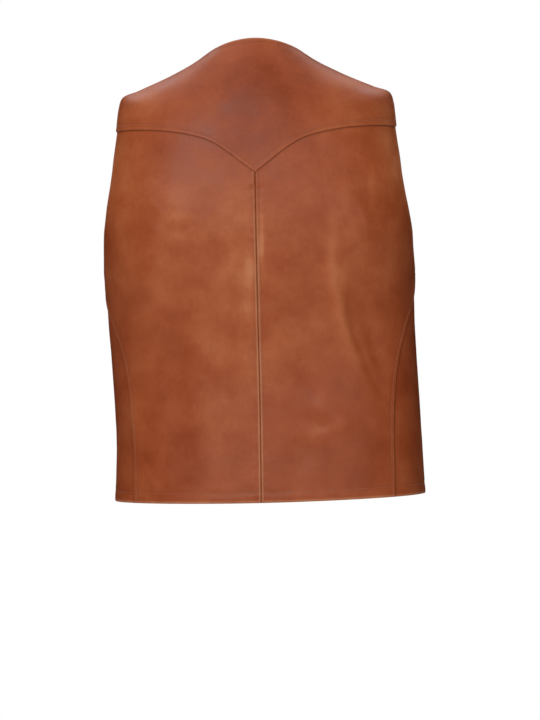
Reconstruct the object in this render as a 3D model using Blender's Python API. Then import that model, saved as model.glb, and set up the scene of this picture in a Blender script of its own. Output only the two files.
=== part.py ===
"""Western vest of smooth leather as it hangs when worn: a yoke, two back panels, two fronts and snaps."""

import math

import bpy
import numpy as np

for old in list(bpy.data.objects):
    bpy.data.objects.remove(old, do_unlink=True)

# Sizes in metres. A drop is measured down from the middle of the back neck edge.
NECK_ABOVE_ORIGIN = 0.052
BACK_LENGTH = 0.637
HEM_RISE_AT_SIDES = 0.005
WALL = 0.0014
GAP = 0.0003
EDGE_TURN_EXTRA = 0.0011
HEM_TURN = 0.014
HEM_TURN_STEP = 0.002
CENTRE_OVERLAP = 0.015
OVERLAP_GAP = 0.0006
RAISED_WITHIN = 0.035
FLAT_BEYOND = 0.060
LEVEL_BELOW_UNDERARM = 0.330
DROP_BLEND = 1.8
FACE_BLEND = 0.030
CORNER_CLEARANCE = 0.010

# The wearer's hips are turned, shifted and tilted a little against the chest, and the vest hangs with them.
POSE_FROM_DROP = 0.320
POSE_OVER = 0.260
HIP_TURN_DEGREES = 4.2
HIP_SHIFT = -0.0085
HIP_TILT = 0.008

# How far the outer face of each layer stands from the form.
BACK_LEVEL = GAP + WALL
YOKE_LEVEL = BACK_LEVEL + GAP + WALL
OVERLAP_LEVEL = OVERLAP_GAP + WALL

# Snaps along the centre front.
SNAP_COUNT = 5
SNAP_FIRST_DROP = 0.285
SNAP_LAST_DROP = 0.600
SNAP_SIDES = 24
PROFILE_COLUMNS = ("radius", "height")
CAP_PROFILE = (
    (0.00000, 0.00000),
    (0.00705, 0.00000),
    (0.00750, 0.00060),
    (0.00728, 0.00120),
    (0.00615, 0.00192),
    (0.00413, 0.00273),
    (0.00188, 0.00326),
    (0.00000, 0.00340),
)
PLATE_PROFILE = (
    (0.00000, -0.00130),
    (0.00440, -0.00130),
    (0.00520, -0.00065),
    (0.00520, 0.00000),
    (0.00000, 0.00000),
)

# Form of the worn vest: a row for each ring, read at centre back, at the side and at centre front.
RING_COLUMNS = ("back_drop", "back_y", "side_drop", "side_y", "half_width", "front_drop", "front_y", "square")
RINGS = np.array(
    (
        (0.000, 0.072, 0.0310, 0.005, 0.0770, 0.078, -0.060, 2.0),
        (0.048, 0.096, 0.0540, 0.004, 0.1300, 0.102, -0.086, 2.0),
        (0.085, 0.108, 0.0675, 0.002, 0.1640, 0.125, -0.098, 2.3),
        (0.108, 0.113, 0.0755, 0.000, 0.1840, 0.140, -0.104, 2.4),
        (0.122, 0.116, 0.0860, -0.001, 0.1890, 0.151, -0.106, 2.5),
        (0.165, 0.122, 0.1260, -0.003, 0.1975, 0.184, -0.113, 2.8),
        (0.215, 0.127, 0.1900, -0.004, 0.2110, 0.224, -0.119, 3.0),
        (0.265, 0.128, 0.250, -0.004, 0.2155, 0.268, -0.123, 3.0),
        (0.310, 0.125, 0.305, -0.003, 0.2145, 0.310, -0.125, 2.8),
        (0.365, 0.118, 0.365, -0.002, 0.2130, 0.365, -0.125, 2.6),
        (0.455, 0.109, 0.455, 0.000, 0.2120, 0.455, -0.124, 2.5),
        (0.545, 0.111, 0.545, 0.000, 0.2120, 0.545, -0.126, 2.5),
        (0.640, 0.117, 0.640, 0.000, 0.2160, 0.640, -0.130, 2.5),
    )
)
COLUMN = {name: place for place, name in enumerate(RING_COLUMNS)}

# Back yoke seam from the centre point out to the armhole, as seen from behind.
YOKE_SEAM_COLUMNS = ("x", "drop")
YOKE_SEAM = (
    (0.0000, 0.1860),
    (0.0166, 0.1735),
    (0.0330, 0.1605),
    (0.0476, 0.1500),
    (0.0635, 0.1410),
    (0.0910, 0.1325),
    (0.1170, 0.1275),
    (0.1380, 0.1250),
    (0.1620, 0.1235),
)
YOKE_CORNER_DROP = 0.124

# Armhole edge from the underarm up the back, over the shoulder and down the front. Centre back is at 0
# degrees and the side at 90.
ARMHOLE_COLUMNS = ("around_degrees", "drop")
ARMHOLE = (
    (92.0, 0.3250),
    (82.0, 0.3160),
    (75.0, 0.2980),
    (70.5, 0.2740),
    (63.5, 0.2350),
    (61.5, 0.1910),
    (65.0, 0.1580),
    (67.5, 0.1380),
    (70.0, 0.1200),
    (74.5, 0.0990),
    (82.0, 0.0840),
    (90.0, 0.0770),
    (97.5, 0.0840),
    (103.5, 0.0990),
    (112.0, 0.1280),
    (119.5, 0.1600),
    (124.5, 0.2050),
    (122.5, 0.2500),
    (115.5, 0.2850),
    (105.0, 0.3140),
    (92.0, 0.3250),
)
FRONT_CORNER_ROW = 13
SHOULDER_ROW = 11

# Side seam from the underarm to the hem.
SIDE_SEAM_COLUMNS = ("around_degrees", "drop")
SIDE_SEAM = (
    (92.0, 0.3250),
    (84.5, 0.3450),
    (76.5, 0.3630),
    (67.0, 0.3880),
    (61.5, 0.4110),
    (58.5, 0.4300),
    (56.0, 0.4550),
    (54.0, 0.4930),
    (52.7, 0.5300),
    (52.0, 0.5840),
    (51.2, 0.6350),
)

# Neck edge of a front, from the yoke down to the break of the V, as seen from the front.
NECK_END_DEGREES = 117.0
FRONT_NECK_COLUMNS = ("x", "drop")
FRONT_NECK = (
    (0.0700, 0.0560),
    (0.0655, 0.0800),
    (0.0560, 0.1250),
    (0.0430, 0.1700),
    (0.0260, 0.2100),
    (0.0060, 0.2440),
    (-0.0150, 0.2700),
)

# Large soft folds: a ridge or, where the height is negative, a trough along a bent line, as seen from behind
# or from in front.
FOLD_COLUMNS = ("face", "x0", "drop0", "x1", "drop1", "x2", "drop2", "width", "height")
FOLDS = (
    ("back", 0.036, 0.330, 0.078, 0.410, 0.070, 0.610, 0.020, 0.0030),
    ("back", 0.150, 0.285, 0.152, 0.325, 0.146, 0.370, 0.034, 0.0030),
    ("back", 0.176, 0.490, 0.174, 0.530, 0.172, 0.580, 0.012, 0.0022),
    ("back", 0.118, 0.395, 0.122, 0.470, 0.116, 0.560, 0.024, -0.0022),
    ("back", -0.030, 0.270, -0.040, 0.320, -0.028, 0.380, 0.030, 0.0022),
    ("back", -0.104, 0.290, -0.112, 0.380, -0.154, 0.465, 0.014, 0.0036),
    ("back", -0.136, 0.350, -0.156, 0.430, -0.172, 0.510, 0.014, -0.0030),
    ("back", -0.076, 0.492, -0.100, 0.520, -0.130, 0.542, 0.013, 0.0028),
    ("back", -0.048, 0.468, -0.066, 0.482, -0.084, 0.500, 0.012, -0.0022),
    ("back", -0.048, 0.545, -0.056, 0.570, -0.050, 0.600, 0.018, -0.0020),
    ("back", 0.134, 0.205, 0.108, 0.228, 0.086, 0.250, 0.022, 0.0024),
    ("back", -0.096, 0.210, -0.126, 0.240, -0.156, 0.280, 0.024, 0.0026),
    ("front", 0.070, 0.300, 0.120, 0.330, 0.175, 0.335, 0.020, 0.0028),
    ("front", -0.065, 0.315, -0.118, 0.352, -0.178, 0.360, 0.018, 0.0026),
    ("front", 0.052, 0.420, 0.096, 0.440, 0.150, 0.480, 0.018, -0.0024),
    ("front", -0.056, 0.450, -0.090, 0.500, -0.132, 0.560, 0.022, 0.0028),
    ("front", 0.110, 0.520, 0.124, 0.570, 0.120, 0.615, 0.020, 0.0030),
    ("front", -0.150, 0.200, -0.120, 0.240, -0.080, 0.262, 0.018, -0.0022),
    ("front", 0.146, 0.190, 0.118, 0.225, 0.085, 0.245, 0.016, -0.0020),
)

# Grid steps of the solids.
SEAM_STEPS = 14
SEAM_EDGE_SHARE = 0.035
ARMHOLE_STEPS = 9
YOKE_ROWS = 15
NECK_STRIP_SHARE = 0.040
LAP_SHARE = 0.050
ROWS_TO_UNDERARM = 12
V_ROWS_TO_BREAK = 9
ROWS_TO_HEM = 13
PATH_SAMPLES = 500
FRONT_EDGE_KNOTS = 12
FOLD_SAMPLES = 25
FOLD_END_SHARE = 0.08
FIRST_TURNED_ROW = 3
OVERLAP_FIRST_ROW = 4
OVERLAP_FULL_ROW = 8
BACK_DEGREES = (0, 80)
FRONT_DEGREES = (95, 187)


def through(knots, values, at):
    """A smooth curve through the rows of values at their knots, read at each place asked."""
    knots = np.asarray(knots, float)
    values = np.asarray(values, float)
    slopes = np.gradient(values, knots, axis=0)
    at = np.clip(np.asarray(at, float), knots[0], knots[-1])
    low = np.clip(np.searchsorted(knots, at, side="right") - 1, 0, len(knots) - 2)
    span = (knots[low + 1] - knots[low])[:, None]
    t = (at - knots[low])[:, None] / span
    start = (2 * t**3 - 3 * t**2 + 1) * values[low]
    start_slope = (t**3 - 2 * t**2 + t) * span * slopes[low]
    end = (3 * t**2 - 2 * t**3) * values[low + 1]
    end_slope = (t**3 - t**2) * span * slopes[low + 1]
    return start + start_slope + end + end_slope


def form(around, depth):
    """Points of the form at these turns from centre back, in radians, and ring drops at centre back."""
    around = np.asarray(around, float)
    rows = through(RINGS[:, COLUMN["back_drop"]], RINGS, depth)
    ring = {name: rows[:, place] for name, place in COLUMN.items()}
    sine = np.sin(around)
    cosine = np.cos(around)
    power = ring["square"]
    reach = (np.abs(sine) ** power + np.abs(cosine) ** power) ** (-1 / power)
    toward_end = reach * np.abs(cosine)
    end_y = np.where(cosine >= 0, ring["back_y"], ring["front_y"])
    end_drop = np.where(cosine >= 0, ring["back_drop"], ring["front_drop"])
    x = ring["half_width"] * reach * sine
    y = ring["side_y"] + (end_y - ring["side_y"]) * toward_end
    drop = ring["side_drop"] + (end_drop - ring["side_drop"]) * toward_end**DROP_BLEND
    return np.stack((x, y, NECK_ABOVE_ORIGIN - drop), axis=1)


def smooth(share):
    """A share from 0 to 1, eased at both ends."""
    share = np.clip(share, 0, 1)
    return share * share * (3 - 2 * share)


def posed(points):
    """Points of the straight form as they hang on the wearer, whose hips are turned, shifted and tilted."""
    points = np.asarray(points, float)
    share = smooth((NECK_ABOVE_ORIGIN - points[:, 2] - POSE_FROM_DROP) / POSE_OVER)
    angle = math.radians(HIP_TURN_DEGREES) * share
    x = points[:, 0] * np.cos(angle) + points[:, 1] * np.sin(angle) + HIP_SHIFT * share
    y = points[:, 1] * np.cos(angle) - points[:, 0] * np.sin(angle)
    return np.stack((x, y, points[:, 2] - HIP_TILT * x * share), axis=1)


def outward(around, depth):
    """Unit normals of the form, facing away from the wearer."""
    turn_step = 1e-3
    depth_step = 5e-4
    by_turn = form(around + turn_step, depth) - form(around - turn_step, depth)
    lower = np.minimum(depth + depth_step, RINGS[-1, 0])
    upper = np.maximum(depth - depth_step, 0)
    by_depth = form(around, lower) - form(around, upper)
    normal = np.cross(by_turn, by_depth)
    return normal / np.linalg.norm(normal, axis=1)[:, None]


def depth_at(around, drop):
    """The ring drop at which a line at one turn reaches a drop."""
    depths = np.linspace(0, RINGS[-1, 0], PATH_SAMPLES)
    drops = NECK_ABOVE_ORIGIN - form(np.full(PATH_SAMPLES, around), depths)[:, 2]
    return float(np.interp(drop, drops, depths))


def seen_at(x, drop, between_degrees):
    """The turn and ring drop of the point seen at x and drop, between two turns."""
    turns = np.radians(np.linspace(*between_degrees, PATH_SAMPLES // 2))
    depths = np.array([depth_at(turn, drop) for turn in turns])
    across = form(turns, depths)[:, 0]
    order = np.argsort(across)
    turn = float(np.interp(x, across[order], turns[order]))
    return turn, depth_at(turn, drop)


def from_degrees(rows):
    return [(math.radians(degrees), depth_at(math.radians(degrees), drop)) for degrees, drop in rows]


def path(points):
    """A dense smooth line through turns and ring drops, with its length so far at each sample."""
    points = np.asarray(points, float)
    places = form(points[:, 0], points[:, 1])
    knots = np.concatenate(([0], np.cumsum(np.linalg.norm(np.diff(places, axis=0), axis=1))))
    line = through(knots, points, np.linspace(0, knots[-1], PATH_SAMPLES))
    places = form(line[:, 0], line[:, 1])
    lengths = np.concatenate(([0], np.cumsum(np.linalg.norm(np.diff(places, axis=0), axis=1))))
    return line, lengths


def along(line_and_lengths, shares):
    """Points at these shares of a line's length."""
    line, lengths = line_and_lengths
    wanted = np.asarray(shares, float) * lengths[-1]
    return np.stack([np.interp(wanted, lengths, line[:, place]) for place in (0, 1)], axis=1)


def steps_with(count, first_strip=0.0, last_strip=0.0):
    """Even shares from 0 to 1, with a narrow strip of its own at an end where one is asked."""
    inside = np.linspace(first_strip, 1 - last_strip, count + 1)
    ends = [[0.0]] if first_strip else []
    tail = [[1.0]] if last_strip else []
    return np.concatenate(ends + [inside] + tail)


def patch(top, bottom, first, last):
    """A grid of turns and ring drops between four edges, rows down and columns from first to last."""
    across = np.linspace(0, 1, len(top))
    down = (first[:, 1] - first[0, 1]) / (first[-1, 1] - first[0, 1])
    down = (down + (last[:, 1] - last[0, 1]) / (last[-1, 1] - last[0, 1])) / 2
    s = across[None, :, None]
    t = down[:, None, None]
    between_rows = (1 - t) * top[None] + t * bottom[None]
    between_columns = (1 - s) * first[:, None] + s * last[:, None]
    corners = (1 - t) * ((1 - s) * top[0] + s * top[-1]) + t * ((1 - s) * bottom[0] + s * bottom[-1])
    return between_rows + between_columns - corners


def fold_heights(points):
    """How far the folds lift the form at these points."""
    heights = np.zeros(len(points))
    drops = NECK_ABOVE_ORIGIN - points[:, 2]
    shares = np.linspace(0, 1, FOLD_SAMPLES)
    tapers = np.sin(math.pi * (FOLD_END_SHARE + (1 - 2 * FOLD_END_SHARE) * shares))
    for face, x0, drop0, x1, drop1, x2, drop2, width, height in FOLDS:
        before = (1 - shares) ** 2
        between = 2 * shares * (1 - shares)
        after = shares**2
        bend_x = before * x0 + between * (2 * x1 - (x0 + x2) / 2) + after * x2
        bend_drop = before * drop0 + between * (2 * drop1 - (drop0 + drop2) / 2) + after * drop2
        away = np.hypot(points[:, 0, None] - bend_x, drops[:, None] - bend_drop)
        toward_face = points[:, 1] if face == "back" else -points[:, 1]
        on_face = np.clip(toward_face / FACE_BLEND, 0, 1)
        taper = tapers[away.argmin(axis=1)]
        heights += on_face * taper * height * np.exp(-((away.min(axis=1) / width) ** 2))
    return heights


def grid_faces(index):
    """Quads of a grid of vertex numbers, facing out where turns grow along the columns."""
    faces = []
    for above, below in zip(index[:-1], index[1:]):
        for place in range(len(above) - 1):
            faces.append((above[place], above[place + 1], below[place + 1], below[place]))
    return faces


def split_quads(quads, base):
    """Triangles from quads, split along the shorter diagonal, so that layers that lap are split alike."""
    faces = []
    for a, b, c, d in quads:
        if np.linalg.norm(base[a] - base[c]) < np.linalg.norm(base[b] - base[d]):
            faces += [(a, b, c), (a, c, d)]
        else:
            faces += [(b, c, d), (b, d, a)]
    return faces


def material(name, colour, roughness, metallic=0.0):
    made = bpy.data.materials.new(name)
    made.use_nodes = True
    shader = made.node_tree.nodes["Principled BSDF"]
    shader.inputs["Base Color"].default_value = (*colour, 1)
    shader.inputs["Roughness"].default_value = roughness
    shader.inputs["Metallic"].default_value = metallic
    return made


def solid(name, points, faces, look):
    """One object from points of the straight form and faces, posed and shaded smooth."""
    mesh = bpy.data.meshes.new(name)
    mesh.from_pydata(posed(points).tolist(), [], [tuple(face) for face in faces])
    mesh.polygons.foreach_set("use_smooth", [True] * len(mesh.polygons))
    mesh.materials.append(look)
    obj = bpy.data.objects.new(name, mesh)
    bpy.context.scene.collection.objects.link(obj)
    return obj


def panel(name, places, faces, level, thickness, look, mirrored=False):
    """A closed leather wall: its outer face at the level above the form, its inner face one thickness in."""
    places = np.asarray(places, float).copy()
    faces = list(faces)
    if mirrored:
        places[:, 0] *= -1
        faces = [face[::-1] for face in faces]
    base = form(places[:, 0], places[:, 1])
    faces = split_quads(faces, base)
    normal = outward(places[:, 0], places[:, 1])
    lift = level + fold_heights(base)
    outer = base + normal * lift[:, None]
    inner = base + normal * (lift - thickness)[:, None]
    count = len(places)
    used = {(face[place - 1], face[place]) for face in faces for place in range(len(face))}
    rim = [(b, a, a + count, b + count) for a, b in used if (b, a) not in used]
    back_faces = [tuple(corner + count for corner in face[::-1]) for face in faces]
    return solid(name, np.concatenate((outer, inner)), faces + back_faces + rim, look)


def yoke_grid():
    """Half of the yoke: rows from the neck edge out, columns from centre back round to the front seam."""
    seam_points = [(0.0, depth_at(0.0, YOKE_SEAM[0][1]))]
    seam_points += [seen_at(x, drop, BACK_DEGREES) for x, drop in YOKE_SEAM[1:]]
    back_edge = path(from_degrees(ARMHOLE[: SHOULDER_ROW + 1]))
    edge_drops = NECK_ABOVE_ORIGIN - form(back_edge[0][:, 0], back_edge[0][:, 1])[:, 2]
    corner = int(np.abs(edge_drops - YOKE_CORNER_DROP).argmin())
    seam_points.append(tuple(back_edge[0][corner]))
    seam = along(path(seam_points), steps_with(SEAM_STEPS - 1, last_strip=SEAM_EDGE_SHARE))
    over_rows = [row for row in ARMHOLE[:FRONT_CORNER_ROW] if row[1] < YOKE_CORNER_DROP - CORNER_CLEARANCE]
    over_rows.append(ARMHOLE[FRONT_CORNER_ROW])
    over = path([tuple(back_edge[0][corner])] + from_degrees(over_rows))
    outer = np.concatenate((seam, along(over, np.linspace(0, 1, ARMHOLE_STEPS + 1))[1:]))
    neck_turns = np.radians(NECK_END_DEGREES) * np.linspace(0, 1, len(outer))
    neck = np.stack((neck_turns, np.zeros(len(outer))), axis=1)
    shares = steps_with(YOKE_ROWS - 2, NECK_STRIP_SHARE, LAP_SHARE)
    grid = (1 - shares)[:, None, None] * neck[None] + shares[:, None, None] * outer[None]
    return grid, len(seam) - 1


def hem_depth(turns):
    return BACK_LENGTH - HEM_RISE_AT_SIDES * np.sin(turns) ** 2


def lower_shares(line_and_lengths):
    """Shares down a line that ends at the hem, with rows at the top of the hem turn."""
    length = line_and_lengths[1][-1]
    even = np.linspace(0, 1 - (HEM_TURN + HEM_TURN_STEP) / length, ROWS_TO_HEM - 1)
    return np.concatenate((even, [1 - HEM_TURN / length, 1.0]))


def side_line():
    points = from_degrees(SIDE_SEAM)
    turn = points[-1][0]
    points[-1] = (turn, float(hem_depth(turn)))
    line = path(points)
    return along(line, lower_shares(line))


def straight_down(turn, first_depth, last_depth, shares):
    depths = first_depth + (last_depth - first_depth) * np.asarray(shares)
    return np.stack((np.full(len(depths), turn), depths), axis=1)


def hem_line(first_turn, last_turn, count):
    turns = np.linspace(first_turn, last_turn, count)
    return np.stack((turns, hem_depth(turns)), axis=1)


def back_grid(yoke, corner):
    """Left back panel: rows down from the yoke seam, columns from centre back out to the armhole and side."""
    top = yoke[-1, : corner + 1]
    up_the_back = [row for row in ARMHOLE[:SHOULDER_ROW] if row[1] > YOKE_CORNER_DROP + CORNER_CLEARANCE]
    edge = path([tuple(yoke[-1, corner])] + from_degrees(up_the_back[::-1]))
    side = side_line()
    last = np.concatenate((along(edge, np.linspace(0, 1, ROWS_TO_UNDERARM + 1)), side[1:]))
    upper = straight_down(0.0, top[0, 1], LEVEL_BELOW_UNDERARM, np.linspace(0, 1, ROWS_TO_UNDERARM + 1))
    centre_length = BACK_LENGTH - LEVEL_BELOW_UNDERARM
    shares = np.linspace(0, 1 - (HEM_TURN + HEM_TURN_STEP) / centre_length, ROWS_TO_HEM - 1)
    shares = np.concatenate((shares, [1 - HEM_TURN / centre_length, 1.0]))
    first = np.concatenate((upper, straight_down(0.0, LEVEL_BELOW_UNDERARM, BACK_LENGTH, shares)[1:]))
    bottom = hem_line(0.0, side[-1, 0], len(top))
    return patch(top, bottom, first, last)


def front_grid(yoke):
    """Left front: rows down from its yoke seam, columns from the armhole and side to the front edge."""
    top = yoke[::-1, -1]
    edge = path(from_degrees(ARMHOLE[FRONT_CORNER_ROW:]))
    side = side_line()
    first = np.concatenate((along(edge, np.linspace(0, 1, ROWS_TO_UNDERARM + 1)), side[1:]))
    neck_points = [tuple(yoke[0, -1])] + [seen_at(x, drop, FRONT_DEGREES) for x, drop in FRONT_NECK]
    neck = along(path(neck_points), np.linspace(0, 1, V_ROWS_TO_BREAK + 1))
    front_points = [(neck_points[-1][0], neck_points[-1][1])]
    front_drops = np.linspace(FRONT_NECK[-1][1], BACK_LENGTH, FRONT_EDGE_KNOTS)[1:]
    front_points += [seen_at(-CENTRE_OVERLAP, drop, FRONT_DEGREES) for drop in front_drops]
    front = path(front_points)
    to_underarm = (LEVEL_BELOW_UNDERARM - FRONT_NECK[-1][1]) / front[1][-1]
    upper = np.linspace(0, to_underarm, ROWS_TO_UNDERARM - V_ROWS_TO_BREAK + 1)
    lower = to_underarm + (1 - to_underarm) * np.linspace(0, 1, ROWS_TO_HEM + 1)[1:-2]
    turn_rows = 1 - np.array((HEM_TURN + HEM_TURN_STEP, HEM_TURN, 0.0)) / front[1][-1]
    lower[-1] = turn_rows[0]
    centre = along(front, np.concatenate((upper, lower, turn_rows[1:])))
    last = np.concatenate((neck, centre[1:]))
    bottom = hem_line(first[-1, 0], last[-1, 0], len(top))
    return patch(top, bottom, first, last)


def turned(name, centre, axis, profile, look):
    """A round solid: the profile's radii and heights swept about an axis, closed at the middle."""
    axis = axis / np.linalg.norm(axis)
    side = np.cross(axis, (0, 0, 1))
    side = side / np.linalg.norm(side)
    up = np.cross(axis, side)
    angles = np.linspace(0, 2 * math.pi, SNAP_SIDES, endpoint=False)
    points = [centre + axis * profile[0][1]]
    for radius, height in profile[1:-1]:
        for angle in angles:
            points.append(centre + axis * height + radius * (math.cos(angle) * side + math.sin(angle) * up))
    points.append(centre + axis * profile[-1][1])
    faces = []
    for place in range(SNAP_SIDES):
        beside = (place + 1) % SNAP_SIDES
        faces.append((0, 1 + beside, 1 + place))
        for ring in range(len(profile) - 3):
            low = 1 + ring * SNAP_SIDES
            high = low + SNAP_SIDES
            faces.append((low + place, low + beside, high + beside, high + place))
        end = 1 + (len(profile) - 3) * SNAP_SIDES
        faces.append((len(points) - 1, end + place, end + beside))
    return solid(name, points, faces, look)


def numbered(grid):
    """A vertex number for each place of a grid."""
    return np.arange(grid.shape[0] * grid.shape[1]).reshape(grid.shape[:2])


def make_yoke(half, corner):
    """The yoke is one piece across both shoulders: its half grid joined to its mirror at centre back."""
    columns = half.shape[1]
    whole = np.concatenate((half[:, :0:-1] * (-1, 1), half), axis=1)
    column_number = np.abs(np.arange(whole.shape[1]) - (columns - 1))
    over_share = smooth((column_number - corner) / (columns - 1 - corner))
    level = np.tile(YOKE_LEVEL + (BACK_LEVEL - YOKE_LEVEL) * over_share, (len(whole), 1))
    wall = np.full(whole.shape[:2], WALL)
    behind_front_seam = column_number < columns - 2
    wall[0, behind_front_seam] += EDGE_TURN_EXTRA
    wall[-1, behind_front_seam & (column_number > corner + 1)] += EDGE_TURN_EXTRA
    faces = grid_faces(numbered(whole))
    panel("back_yoke", whole.reshape(-1, 2), faces, level.ravel(), wall.ravel(), leather)


def make_backs(yoke, corner):
    """Both back panels, which run on under the yoke to its last inner row."""
    grid = np.concatenate((yoke[-2:-1, : corner + 1], back_grid(yoke, corner)))
    half_width = np.interp(YOKE_SEAM[0][1], RINGS[:, COLUMN["back_drop"]], RINGS[:, COLUMN["half_width"]])
    grid[:, 0, 0] = GAP / 2 / half_width
    wall = np.full(grid.shape[:2], WALL)
    wall[-2:, :-2] += EDGE_TURN_EXTRA
    wall[FIRST_TURNED_ROW : ROWS_TO_UNDERARM + 1, -1] += EDGE_TURN_EXTRA
    faces = grid_faces(numbered(grid))
    for name, mirrored in (("back_left", False), ("back_right", True)):
        panel(name, grid.reshape(-1, 2), faces, BACK_LEVEL, wall.ravel(), leather, mirrored)
    return grid


def make_fronts(yoke, back):
    """Both fronts, which run on under the yoke and, below the arm, under the back panel's last strip."""
    grid = np.concatenate((yoke[::-1, -2][None], front_grid(yoke)))
    wall = np.full(grid.shape[:2], WALL)
    wall[-2:] += EDGE_TURN_EXTRA
    wall[FIRST_TURNED_ROW : ROWS_TO_UNDERARM + 1, 0] += EDGE_TURN_EXTRA
    numbers = numbered(grid)
    faces = grid_faces(numbers)
    side_rows = slice(ROWS_TO_UNDERARM + 1, None)
    lap = back[side_rows, -2]
    lap_numbers = numbers.size + np.arange(len(lap))
    faces += grid_faces(np.stack((lap_numbers, numbers[side_rows, 0]), axis=1))
    places = np.concatenate((grid.reshape(-1, 2), lap))
    wall = np.concatenate((wall.ravel(), np.full(len(lap), WALL)))
    rows = np.repeat(np.arange(len(grid)), grid.shape[1])
    rows = np.concatenate((rows, np.full(len(lap), len(grid))))
    from_centre = form(places[:, 0], places[:, 1])[:, 0]
    raised = OVERLAP_LEVEL * smooth((FLAT_BEYOND - from_centre) / (FLAT_BEYOND - RAISED_WITHIN))
    raised = raised * np.clip((rows - OVERLAP_FIRST_ROW) / (OVERLAP_FULL_ROW - OVERLAP_FIRST_ROW), 0, 1)
    left_wall = np.where(raised > 0, WALL, wall)
    panel("front_left", places, faces, raised, left_wall, leather)
    panel("front_right", places, faces, np.zeros(len(places)), wall, leather, True)


def make_snaps():
    """A cap stands on the left front and the plate of its post lies inside the right front."""
    for number, drop in enumerate(np.linspace(SNAP_FIRST_DROP, SNAP_LAST_DROP, SNAP_COUNT), 1):
        turn = np.array((math.pi,))
        depth = np.array((drop,))
        axis = outward(turn, depth)[0]
        foot = form(turn, depth)[0] + axis * fold_heights(form(turn, depth))[0]
        turned(f"snap_cap_{number}", foot + axis * (OVERLAP_LEVEL + GAP), axis, CAP_PROFILE, metal)
        turned(f"snap_back_{number}", foot - axis * (WALL + GAP), axis, PLATE_PROFILE, metal)


leather = material("leather_brown", (0.30, 0.085, 0.032), 0.42)
metal = material("antique_brass", (0.36, 0.27, 0.15), 0.35, 1.0)
yoke_half, yoke_corner = yoke_grid()
make_yoke(yoke_half, yoke_corner)
back_places = make_backs(yoke_half, yoke_corner)
make_fronts(yoke_half, back_places)
make_snaps()
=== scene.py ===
"""Western vest of smooth leather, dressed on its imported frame: panels, seams, stitching, snaps, looks."""

import math

import bpy
import numpy as np
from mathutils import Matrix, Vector, noise
from mathutils.kdtree import KDTree


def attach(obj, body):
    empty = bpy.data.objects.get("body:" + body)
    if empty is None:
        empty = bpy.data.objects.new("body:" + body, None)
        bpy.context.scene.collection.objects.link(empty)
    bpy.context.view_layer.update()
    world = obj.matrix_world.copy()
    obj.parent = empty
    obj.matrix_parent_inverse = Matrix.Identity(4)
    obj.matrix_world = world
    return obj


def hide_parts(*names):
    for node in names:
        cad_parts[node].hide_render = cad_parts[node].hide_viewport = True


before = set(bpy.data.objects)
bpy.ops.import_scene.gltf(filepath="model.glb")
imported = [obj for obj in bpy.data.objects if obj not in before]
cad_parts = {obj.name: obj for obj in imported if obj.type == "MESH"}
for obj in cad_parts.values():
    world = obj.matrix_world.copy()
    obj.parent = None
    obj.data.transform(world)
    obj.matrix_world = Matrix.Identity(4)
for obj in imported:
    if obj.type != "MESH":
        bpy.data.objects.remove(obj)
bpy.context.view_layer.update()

# Sizes in metres. A drop is measured down from the middle of the back neck edge.
NECK_ABOVE_ORIGIN = 0.052
BACK_LENGTH = 0.637
HEM_RISE_AT_SIDES = 0.005
WALL = 0.0014
GAP = 0.0003
CENTRE_OVERLAP = 0.015
OVERLAP_GAP = 0.0006
RAISED_WITHIN = 0.035
FLAT_BEYOND = 0.060
LEVEL_BELOW_UNDERARM = 0.330
DROP_BLEND = 1.8
FACE_BLEND = 0.030
CORNER_CLEARANCE = 0.010
POSE_FROM_DROP = 0.320
POSE_OVER = 0.260
HIP_TURN_DEGREES = 4.2
HIP_SHIFT = -0.0085
HIP_TILT = 0.008
BACK_DEGREES = (0, 80)
FRONT_DEGREES = (95, 187)
FRONT_EDGE_KNOTS = 12
FOLD_SAMPLES = 33
FOLD_END_SHARE = 0.08
LAP = 0.009
BACK_LEVEL = GAP + WALL
YOKE_LEVEL = BACK_LEVEL + GAP + WALL
OVERLAP_LEVEL = OVERLAP_GAP + WALL
LEVEL_FALLS_FROM = math.radians(68)
LEVEL_FALLS_TO = math.radians(100)

# Form of the worn vest: a row for each ring, read at centre back, at the side and at centre front.
RING_COLUMNS = ("back_drop", "back_y", "side_drop", "side_y", "half_width", "front_drop", "front_y", "square")
RINGS = np.array(
    (
        (0.000, 0.072, 0.0310, 0.005, 0.0770, 0.078, -0.060, 2.0),
        (0.048, 0.096, 0.0540, 0.004, 0.1300, 0.102, -0.086, 2.0),
        (0.085, 0.108, 0.0675, 0.002, 0.1640, 0.125, -0.098, 2.3),
        (0.108, 0.113, 0.0755, 0.000, 0.1840, 0.140, -0.104, 2.4),
        (0.122, 0.116, 0.0860, -0.001, 0.1890, 0.151, -0.106, 2.5),
        (0.165, 0.122, 0.1260, -0.003, 0.1975, 0.184, -0.113, 2.8),
        (0.215, 0.127, 0.1900, -0.004, 0.2110, 0.224, -0.119, 3.0),
        (0.265, 0.128, 0.250, -0.004, 0.2155, 0.268, -0.123, 3.0),
        (0.310, 0.125, 0.305, -0.003, 0.2145, 0.310, -0.125, 2.8),
        (0.365, 0.118, 0.365, -0.002, 0.2130, 0.365, -0.125, 2.6),
        (0.455, 0.109, 0.455, 0.000, 0.2120, 0.455, -0.124, 2.5),
        (0.545, 0.111, 0.545, 0.000, 0.2120, 0.545, -0.126, 2.5),
        (0.640, 0.117, 0.640, 0.000, 0.2160, 0.640, -0.130, 2.5),
    )
)
COLUMN = {name: place for place, name in enumerate(RING_COLUMNS)}

# Back yoke seam from the centre point out to the armhole, as seen from behind: x, drop.
YOKE_SEAM = (
    (0.0000, 0.1860),
    (0.0166, 0.1735),
    (0.0330, 0.1605),
    (0.0476, 0.1500),
    (0.0635, 0.1410),
    (0.0910, 0.1325),
    (0.1170, 0.1275),
    (0.1380, 0.1250),
    (0.1620, 0.1235),
)
YOKE_CORNER_DROP = 0.124

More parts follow.
